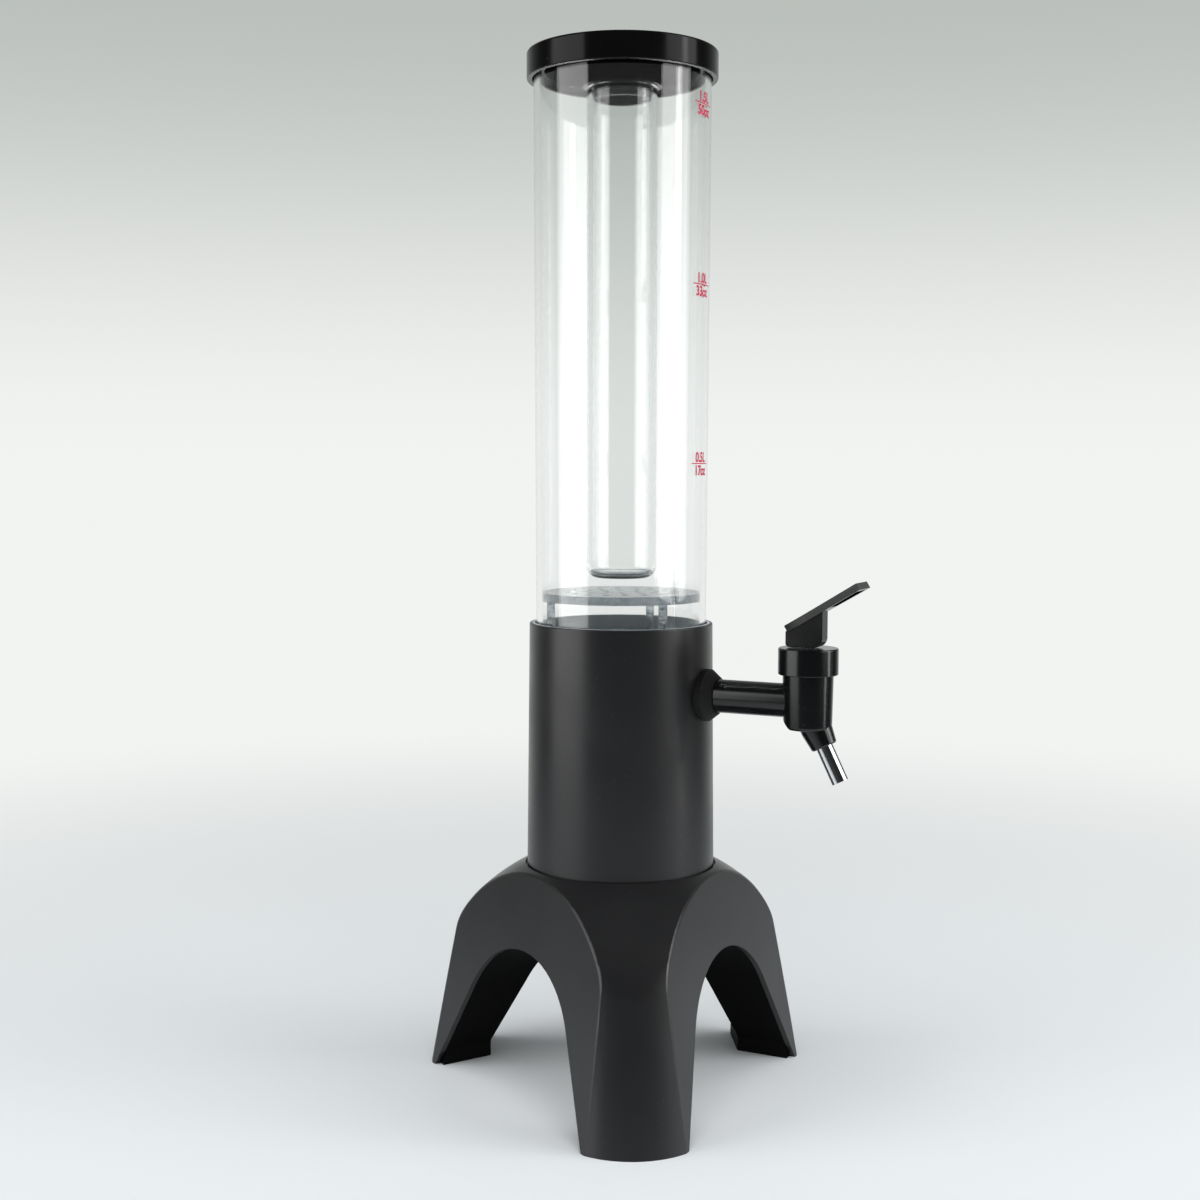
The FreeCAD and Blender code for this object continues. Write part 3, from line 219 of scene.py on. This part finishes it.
# a colour with darker blotches of soft noise
def blotchyColour(tree, spot, look):
    dark = [look["shade"] * value for value in look["colour"]]
    blotches = node(tree, "TexNoise", {"Scale": look["blotchScale"]})
    tone = node(tree, "Mix", {"A": (*look["colour"], 1), "B": (*dark, 1)}, data_type="RGBA")
    wire(tree, spot, "Object", blotches, "Vector")
    wire(tree, blotches, "Fac", tone, "Factor")
    return tone


def mouldedPlastic(name, look):
    material, tree, shader = newMaterial(name)
    spot = node(tree, "TexCoord")
    skin = node(
        tree,
        "Group",
        {
            "Grain Scale": look["grainScale"],
            "Smudge Scale": look["smudgeScale"],
            "Dust": look["dust"],
        },
        node_tree=mouldSkin,
    )
    colour = node(
        tree,
        "Mix",
        {"A": (*look["colour"], 1), "B": (*look["dustColour"], 1)},
        data_type="RGBA",
    )
    wire(tree, spot, "Object", skin, "Vector")
    wire(tree, skin, "Dust", colour, "Factor")
    wire(tree, colour, "Result", shader, "Base Color")
    roughAndBump(tree, shader, look, skin, "Smudge", "Grain")
    shader.inputs["IOR"].default_value = look["ior"]
    return material


plasticLook = {
    "colour": (0.012, 0.012, 0.013),
    "dustColour": (0.16, 0.16, 0.17),
    "roughness": 0.3,
    "haze": 0.07,
    "smudgeScale": 16.0,
    "grainScale": 1300.0,
    "bumpDepth": 0.00002,
    "bump": 0.25,
    "dust": 0.4,
    "ior": 1.5,
}
# painted shade: a darker copy of the shell's black plastic, standing in for the shade on the unlit
# underside under the arches
undersideShadeLook = plasticLook | {
    "colour": (0.0015, 0.0015, 0.0018),
    "roughness": 0.55,
    "bump": 0.4,
    "dust": 0.1,
    "ior": 1.15,
}
# painted reflection: the chamber's floor is painted pale slate, standing in for the tube's bright
# bands that a glossy black floor mirrors
slateReflectionLook = plasticLook | {"colour": (0.26, 0.36, 0.41), "roughness": 0.22, "dust": 0.1}
lidLook = plasticLook | {
    "colour": (0.0035, 0.0035, 0.0038),
    "roughness": 0.14,
    "haze": 0.08,
    "dust": 0.3,
    "ior": 1.24,
}
tapLook = plasticLook | {
    "colour": (0.003, 0.0035, 0.004),
    "roughness": 0.17,
    "haze": 0.06,
    "grainScale": 700.0,
}
washerLook = plasticLook | {
    "colour": (0.003, 0.003, 0.003),
    "roughness": 0.75,
    "bump": 0.6,
    "dust": 0.2,
}
satinCharcoal = mouldedPlastic("satinCharcoal", plasticLook)
undersideShadeBlack = mouldedPlastic("undersideShadeBlack", undersideShadeLook)
insideReflectionSlate = mouldedPlastic("insideReflectionSlate", slateReflectionLook)
lidBlack = mouldedPlastic("lidBlack", lidLook)
tapBlack = mouldedPlastic("tapBlack", tapLook)
washerBlack = mouldedPlastic("washerBlack", washerLook)


# painted light: inside this radius the sleeve's bore is painted pale slate, a painted reflection
# that brightens the unlit band above the chamber's floor, to go with the floor's painted slate
paintedBoreLook = {
    "colour": (0.8, 0.9, 0.94),
    "radius": 0.0466,
    "edge": 0.0003,
    "blotchScale": 70.0,
    "shade": 0.7,
}


def makeSleeveWithPaintedBore():
    material = mouldedPlastic("sleeveCharcoal", plasticLook)
    tree = material.node_tree
    shader = findNode(tree, "BSDF_PRINCIPLED")
    outside = shader.inputs["Base Color"].links[0].from_socket
    spot = node(tree, "TexCoord")
    level = node(tree, "VectorMath", {1: (1, 1, 0)}, operation="MULTIPLY")  # drops the height
    reach = node(tree, "VectorMath", operation="LENGTH")
    inside = node(
        tree,
        "MapRange",
        {
            "From Min": paintedBoreLook["radius"] + paintedBoreLook["edge"],
            "From Max": paintedBoreLook["radius"] - paintedBoreLook["edge"],
        },
    )
    paintedBoreTone = blotchyColour(tree, spot, paintedBoreLook)
    tone = node(tree, "Mix", data_type="RGBA")
    wire(tree, spot, "Object", level, 0)
    wire(tree, level, "Vector", reach, 0)
    wire(tree, reach, "Value", inside, "Value")
    wire(tree, inside, "Result", tone, "Factor")
    tree.links.new(outside, tone.inputs["A"])
    wire(tree, paintedBoreTone, "Result", tone, "B")
    wire(tree, tone, "Result", shader, "Base Color")
    return material


sleeveCharcoal = makeSleeveWithPaintedBore()


def drawnSurface(name, look):
    material, tree, shader = newMaterial(name)
    spot = node(tree, "TexCoord")
    lines = node(
        tree, "Group", {"Across": look["across"], "Along": look["along"]}, node_tree=drawnLines
    )
    wire(tree, spot, "Object", lines, "Vector")
    roughAndBump(tree, shader, look, lines, "Height", "Height")
    shader.inputs["Base Color"].default_value = (*look["colour"], 1)
    return material, shader


def clearPlastic(name, look):
    material, shader = drawnSurface(name, look)
    shader.inputs["Transmission Weight"].default_value = 1
    shader.inputs["IOR"].default_value = look["ior"]
    return material


def polishedMetal(name, look):
    material, shader = drawnSurface(name, look)
    shader.inputs["Metallic"].default_value = 1
    return material


clearLook = {
    "colour": (0.985, 0.992, 0.99),
    "across": 140.0,
    "along": 1.2,
    "roughness": 0.0,
    "haze": 0.03,
    "bump": 0.12,
    "bumpDepth": 0.00002,
    "ior": 1.49,
}
strainerLook = clearLook | {
    "colour": (0.5, 0.55, 0.59),
    "across": 380.0,
    "along": 380.0,
    "haze": 0.1,
    "bump": 1.0,
    "bumpDepth": 0.002,
}
metalLook = {
    "colour": (0.78, 0.79, 0.8),
    "across": 300.0,
    "along": 900.0,
    "roughness": 0.05,
    "haze": 0.06,
    "bump": 0.05,
    "bumpDepth": 0.00001,
}
steelLook = metalLook | {"colour": (0.5, 0.5, 0.5), "roughness": 0.25, "haze": 0.1}
clearTube = clearPlastic("clearTube", clearLook)
clearIce = clearPlastic("clearIce", clearLook | {"across": 200.0})
clearStrainer = clearPlastic("clearStrainer", strainerLook)
chrome = polishedMetal("chrome", metalLook)
steel = polishedMetal("steel", steelLook)


def plainInk(name, look):
    material, tree, shader = newMaterial(name)
    tone = blotchyColour(tree, node(tree, "TexCoord"), look)
    wire(tree, tone, "Result", shader, "Base Color")
    shader.inputs["Roughness"].default_value = look["roughness"]
    return material


inkLook = {"colour": (0.62, 0.012, 0.07), "roughness": 0.5, "blotchScale": 700, "shade": 0.75}
redInk = plainInk("redInk", inkLook)
print("materials made")

finishes = {
    "base_shell": satinCharcoal,
    "base_underside": undersideShadeBlack,
    "underside_screws": steel,
    "sleeve_screws": steel,
    "column_sleeve": sleeveCharcoal,
    "chamber_floor": insideReflectionSlate,
    "tube_gasket": washerBlack,
    "beer_tube": clearTube,
    "strainer_disc": clearStrainer,
    "lid_cap": lidBlack,
    "lid_seal": washerBlack,
    "holder_ring": washerBlack,
    "ice_tube": clearIce,
    "tap_body": tapBlack,
    "tap_washer": washerBlack,
    "inner_washer": washerBlack,
    "shank_nut": undersideShadeBlack,
    "tap_collar": tapBlack,
    "stem_ring": washerBlack,
    "valve_stem": steel,
    "valve_seal": washerBlack,
    "return_spring": steel,
    "tap_lever": tapBlack,
    "lever_pin": tapBlack,
    "spout": chrome,
}
for name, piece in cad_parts.items():
    piece.data.materials.clear()
    piece.data.materials.append(finishes[name])


# tap pieces with their moulded edges rounded, each on a copy of its CAD node's mesh
softEdges = {
    "tap_lever": {"body": "lever", "width": 0.00035, "angle": 24, "segments": 3, "flatAngle": 0.5},
    "tap_collar": {"body": "stand", "width": 0.0003, "angle": 40, "segments": 3, "flatAngle": 0.5},
}
springWire = {"creaseAngle": 40}
mergeReach = 0.000001


def copyNode(name, copyName):
    piece = bpy.data.objects.new(copyName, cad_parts[name].data.copy())
    bpy.context.collection.objects.link(piece)
    pickAlone(piece)
    bpy.ops.mesh.customdata_custom_splitnormals_clear()
    editWhole(piece, bpy.ops.mesh.remove_doubles, threshold=mergeReach)
    return piece


def softenEdges(name, look):
    piece = copyNode(name, name + "_moulded")
    editWhole(piece, bpy.ops.mesh.dissolve_limited, angle_limit=math.radians(look["flatAngle"]))
    bevel = piece.modifiers.new("edges", "BEVEL")
    bevel.width = look["width"]
    bevel.segments = look["segments"]
    bevel.limit_method = "ANGLE"
    bevel.angle_limit = math.radians(look["angle"])
    piece.modifiers.new("flats", "WEIGHTED_NORMAL")
    bpy.ops.object.shade_smooth()
    applyModifiers(piece)
    place(piece, look["body"], tapBlack, "black_tap", name)


# the spring rides up with the stem; in the real tap it gets shorter by the same travel, so its
# upper end stays, but here it is only carried on the stem
def makeSpring():
    spring = copyNode("return_spring", "return_spring_wire")
    bpy.ops.object.shade_smooth_by_angle(angle=math.radians(springWire["creaseAngle"]))
    place(spring, "stem", steel, "steel", "return_spring")
    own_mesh(spring)


for name, look in softEdges.items():
    softenEdges(name, look)
makeSpring()
print("tap pieces made")


# graduations on the tube, on the side that the tap points to: a height, and the words above
# and below its line
graduations = {
    "marks": {0.3303: ("0.5L", "17oz"), 0.421: ("1.0L", "33oz"), 0.511: ("1.5L", "50oz")},
    "textSize": 0.0069,
    "textRise": 0.0009,
    "textDrop": 0.0058,
    "stroke": 0.00024,
    "line": (0.0185, 0.00055),
    "lineSteps": 24,
    "extraCuts": 2,  # so that the words bend round the tube
    "standOff": 0.06,
    "inkWall": 0.00006,
}


def flatText(words, height):
    clearSelection()
    bpy.ops.object.text_add(
        location=(0, -graduations["standOff"], height), rotation=(math.pi / 2, 0, 0)
    )
    text = bpy.context.object
    text.data.body = words
    text.data.align_x = "CENTER"
    text.data.size = graduations["textSize"]
    text.data.offset = graduations["stroke"]
    bpy.ops.object.convert(target="MESH")
    return bpy.context.object


def flatLine(height):
    clearSelection()
    bpy.ops.mesh.primitive_grid_add(
        x_subdivisions=graduations["lineSteps"],
        y_subdivisions=1,
        size=1,
        location=(0, -graduations["standOff"], height),
        rotation=(math.pi / 2, 0, 0),
    )
    line = bpy.context.object
    line.scale = (*graduations["line"], 1)
    return line


def makeGraduation(height, upper, lower):
    rows = [
        flatText(upper, height + graduations["textRise"]),
        flatLine(height),
        flatText(lower, height - graduations["textDrop"]),
    ]
    for row in rows:
        applyPlace(row)
    for row in rows:
        row.select_set(True)
    bpy.context.view_layer.objects.active = rows[0]
    bpy.ops.object.join()
    mark = bpy.context.object
    mark.name = "graduation_" + upper
    editWhole(mark, bpy.ops.mesh.subdivide, number_cuts=graduations["extraCuts"])
    wrap = mark.modifiers.new("print", "SHRINKWRAP")
    wrap.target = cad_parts["beer_tube"]
    wrap.wrap_method = "PROJECT"
    wrap.use_project_y = True
    wrap.use_positive_direction = True
    wrap.use_negative_direction = False
    wrap.offset = graduations["inkWall"] / 2
    wall = mark.modifiers.new("ink", "SOLIDIFY")
    wall.thickness = graduations["inkWall"]
    wall.offset = 0
    applyModifiers(mark)
    place(mark, "tower", redInk, "clear_tube")


for height, (upper, lower) in graduations["marks"].items():
    makeGraduation(height, upper, lower)
print("graduations printed")


studio = {
    "floorRadius": 9.0,
    "floorSides": 128,
    "floorColour": (0.80, 0.83, 0.845),
    "floorRoughness": 0.55,
    "floorShine": 0.2,
    "fadeStart": 0.15,  # the floor fades into the backdrop between these distances
    "fadeEnd": 1.25,
    "horizonColour": (0.885, 0.90, 0.885),
    "topColour": (0.49, 0.52, 0.495),
    "topRise": 0.27,
    "roomColour": (0.95, 0.98, 1.0),
    "roomGlow": 0.30,
    "nearSideGlow": 0.05,
    "nearSideThrough": 0.55,
    "farSide": {"Narrow Share": (0.3, 0.98), "Wide Share": (-0.15, 0.45)},
    "cameraTurn": -63.5,
}


# both shares are 0 towards the side that the camera stands on and 1 away from it
def makeFarSide():
    turn = math.radians(studio["cameraTurn"])
    group, start, end = newGroup(
        "farSide", {"Vector": "Vector"}, {"Narrow Share": "Float", "Wide Share": "Float"}
    )
    level = node(group, "VectorMath", operation="NORMALIZE")
    along = node(
        group, "VectorMath", {1: (-math.sin(turn), math.cos(turn), 0)}, operation="DOT_PRODUCT"
    )
    wire(group, start, "Vector", level, 0)
    wire(group, level, "Vector", along, 0)
    for name, (reachLow, reachHigh) in studio["farSide"].items():
        share = node(
            group,
            "MapRange",
            {"From Min": reachLow, "From Max": reachHigh},
            interpolation_type="SMOOTHSTEP",
        )
        wire(group, along, "Value", share, "Value")
        wire(group, share, "Result", end, name)
    return group


farSide = makeFarSide()


# glow is how bright the backdrop is: whole for the camera, less in gloss and through clear
# pieces towards the near side; seen is 1 for those rays and 0 for the rest
def backdropGlow(tree, spot, output):
    path = node(tree, "LightPath")
    side = node(tree, "Group", node_tree=farSide)
    inGloss = node(tree, "MapRange", {"To Min": studio["nearSideGlow"]})
    inClear = node(tree, "MapRange", {"To Min": studio["nearSideThrough"]})
    through = node(tree, "Math", operation="MULTIPLY")
    straight = node(tree, "Math", operation="MAXIMUM")
    glow = node(tree, "Math", operation="MAXIMUM")
    clear = node(tree, "Math", operation="MAXIMUM")
    seen = node(tree, "Math", operation="MAXIMUM")
    wire(tree, spot, output, side, "Vector")
    wire(tree, side, "Narrow Share", inGloss, "Value")
    wire(tree, side, "Wide Share", inClear, "Value")
    wire(tree, inClear, "Result", through, 0)
    wire(tree, path, "Is Transmission Ray", through, 1)
    wire(tree, path, "Is Camera Ray", straight, 0)
    wire(tree, through, "Value", straight, 1)
    wire(tree, straight, "Value", glow, 0)
    wire(tree, inGloss, "Result", glow, 1)
    wire(tree, path, "Is Camera Ray", clear, 0)
    wire(tree, path, "Is Transmission Ray", clear, 1)
    wire(tree, clear, "Value", seen, 0)
    wire(tree, path, "Is Glossy Ray", seen, 1)
    return glow, seen


def makeFloor():
    clearSelection()
    bpy.ops.mesh.primitive_circle_add(
        vertices=studio["floorSides"], radius=studio["floorRadius"], fill_type="NGON"
    )
    floor = bpy.context.object
    floor.name = "floor"
    material, tree, shader = newMaterial("paleFloor")
    shader.inputs["Base Color"].default_value = (*studio["floorColour"], 1)
    shader.inputs["Roughness"].default_value = studio["floorRoughness"]
    shader.inputs["Specular IOR Level"].default_value = studio["floorShine"]
    spot = node(tree, "TexCoord")
    far = node(tree, "VectorMath", operation="LENGTH")
    fade = node(
        tree,
        "MapRange",
        {"From Min": studio["fadeStart"], "From Max": studio["fadeEnd"]},
        interpolation_type="SMOOTHSTEP",
    )
    glow, seen = backdropGlow(tree, spot, "Object")
    amount = node(tree, "Math", operation="MULTIPLY")
    backdrop = node(tree, "Emission", {"Color": (*studio["horizonColour"], 1)})
    mixed = node(tree, "MixShader")
    wire(tree, spot, "Object", far, 0)
    wire(tree, far, "Value", fade, "Value")
    wire(tree, seen, "Value", amount, 0)
    wire(tree, fade, "Result", amount, 1)
    wire(tree, glow, "Value", backdrop, "Strength")
    wire(tree, amount, "Value", mixed, "Fac")
    wire(tree, shader, "BSDF", mixed, 1)
    wire(tree, backdrop, "Emission", mixed, 2)
    wire(tree, mixed, "Shader", findNode(tree, "OUTPUT_MATERIAL"), "Surface")
    floor.data.materials.append(material)


def makeSky():
    world = bpy.data.worlds.new("studioAir")
    bpy.context.scene.world = world
    world.use_nodes = True
    tree = world.node_tree
    tree.nodes.clear()
    spot = node(tree, "TexCoord")
    split = node(tree, "SeparateXYZ")
    rise = node(
        tree, "MapRange", {"From Max": studio["topRise"]}, interpolation_type="SMOOTHSTEP"
    )
    tone = node(
        tree,
        "Mix",
        {"A": (*studio["horizonColour"], 1), "B": (*studio["topColour"], 1)},
        data_type="RGBA",
    )
    glow, seen = backdropGlow(tree, spot, "Generated")
    backdrop = node(tree, "Background")
    room = node(
        tree,
        "Background",
        {"Color": (*studio["roomColour"], 1), "Strength": studio["roomGlow"]},
    )
    mixed = node(tree, "MixShader")
    output = node(tree, "OutputWorld")
    wire(tree, spot, "Generated", split, "Vector")
    wire(tree, split, "Z", rise, "Value")
    wire(tree, rise, "Result", tone, "Factor")
    wire(tree, tone, "Result", backdrop, "Color")
    wire(tree, glow, "Value", backdrop, "Strength")
    wire(tree, seen, "Value", mixed, "Fac")
    wire(tree, room, "Background", mixed, 1)
    wire(tree, backdrop, "Background", mixed, 2)
    wire(tree, mixed, "Shader", output, "Surface")


# a turn is counted about Z from the side that the camera stands on, left is positive;
# aim is the height on the tower's axis that the lamp faces
softboxes = {
    "leftStrip": {
        "turn": 69,
        "distance": 1.3,
        "height": 0.45,
        "aim": 0.45,
        "size": (1.1, 1.7),
        "power": 15.5,
        "gloss": True,
    },
    "rightHigh": {
        "turn": -73,
        "distance": 1.3,
        "height": 0.85,
        "aim": 0.85,
        "size": (1.05, 1.4),
        "power": 12.5,
        "gloss": True,
    },
    "rightStrip": {
        "turn": -77,
        "distance": 1.3,
        "height": 0.3,
        "aim": 0.3,
        "size": (0.16, 1.2),
        "power": 3.2,
        "gloss": True,
    },
    "overhead": {
        "turn": 0,
        "distance": 0.45,
        "height": 2.1,
        "aim": 0,
        "size": (1.2, 1.2),
        "power": 19,
        "gloss": False,
    },
}


def makeLights():
    front = math.radians(studio["cameraTurn"]) - math.pi / 2
    for name, box in softboxes.items():
        heading = front - math.radians(box["turn"])
        x = box["distance"] * math.cos(heading)
        y = box["distance"] * math.sin(heading)
        clearSelection()
        bpy.ops.object.light_add(type="AREA", location=(x, y, box["height"]))
        lamp = bpy.context.object
        lamp.name = name
        lamp.data.shape = "RECTANGLE"
        lamp.data.size, lamp.data.size_y = box["size"]
        lamp.data.energy = box["power"]
        lamp.visible_glossy = box["gloss"]
        aim = Vector((0, 0, box["aim"])) - lamp.location
        lamp.rotation_euler = aim.to_track_quat("-Z", "Y").to_euler()


cameraPlace = {
    "focal": 51.285,
    "sensor": 36.0,
    "nearest": 0.01,
    "tilt": 4.502,
    "roll": 0.104,
    "distance": 0.89854,
    "aside": 0.011125,
    "height": 0.32926,
}


def makeCamera():
    turn = math.radians(studio["cameraTurn"])
    forward = Vector((-math.sin(turn), math.cos(turn), 0))
    right = Vector((math.cos(turn), math.sin(turn), 0))
    clearSelection()
    bpy.ops.object.camera_add()
    camera = bpy.context.object
    camera.data.lens = cameraPlace["focal"]
    camera.data.sensor_width = cameraPlace["sensor"]
    camera.data.clip_start = cameraPlace["nearest"]
    spot = -forward * cameraPlace["distance"] - right * cameraPlace["aside"]
    spot.z = cameraPlace["height"]
    aim = (
        Matrix.Rotation(turn, 4, "Z")
        @ Matrix.Rotation(math.radians(90 - cameraPlace["tilt"]), 4, "X")
        @ Matrix.Rotation(math.radians(cameraPlace["roll"]), 4, "Z")
    )
    camera.matrix_world = Matrix.Translation(spot) @ aim
    bpy.context.scene.camera = camera


makeFloor()
makeSky()
makeLights()
makeCamera()
bpy.context.scene.view_settings.view_transform = "Standard"
print("studio made")
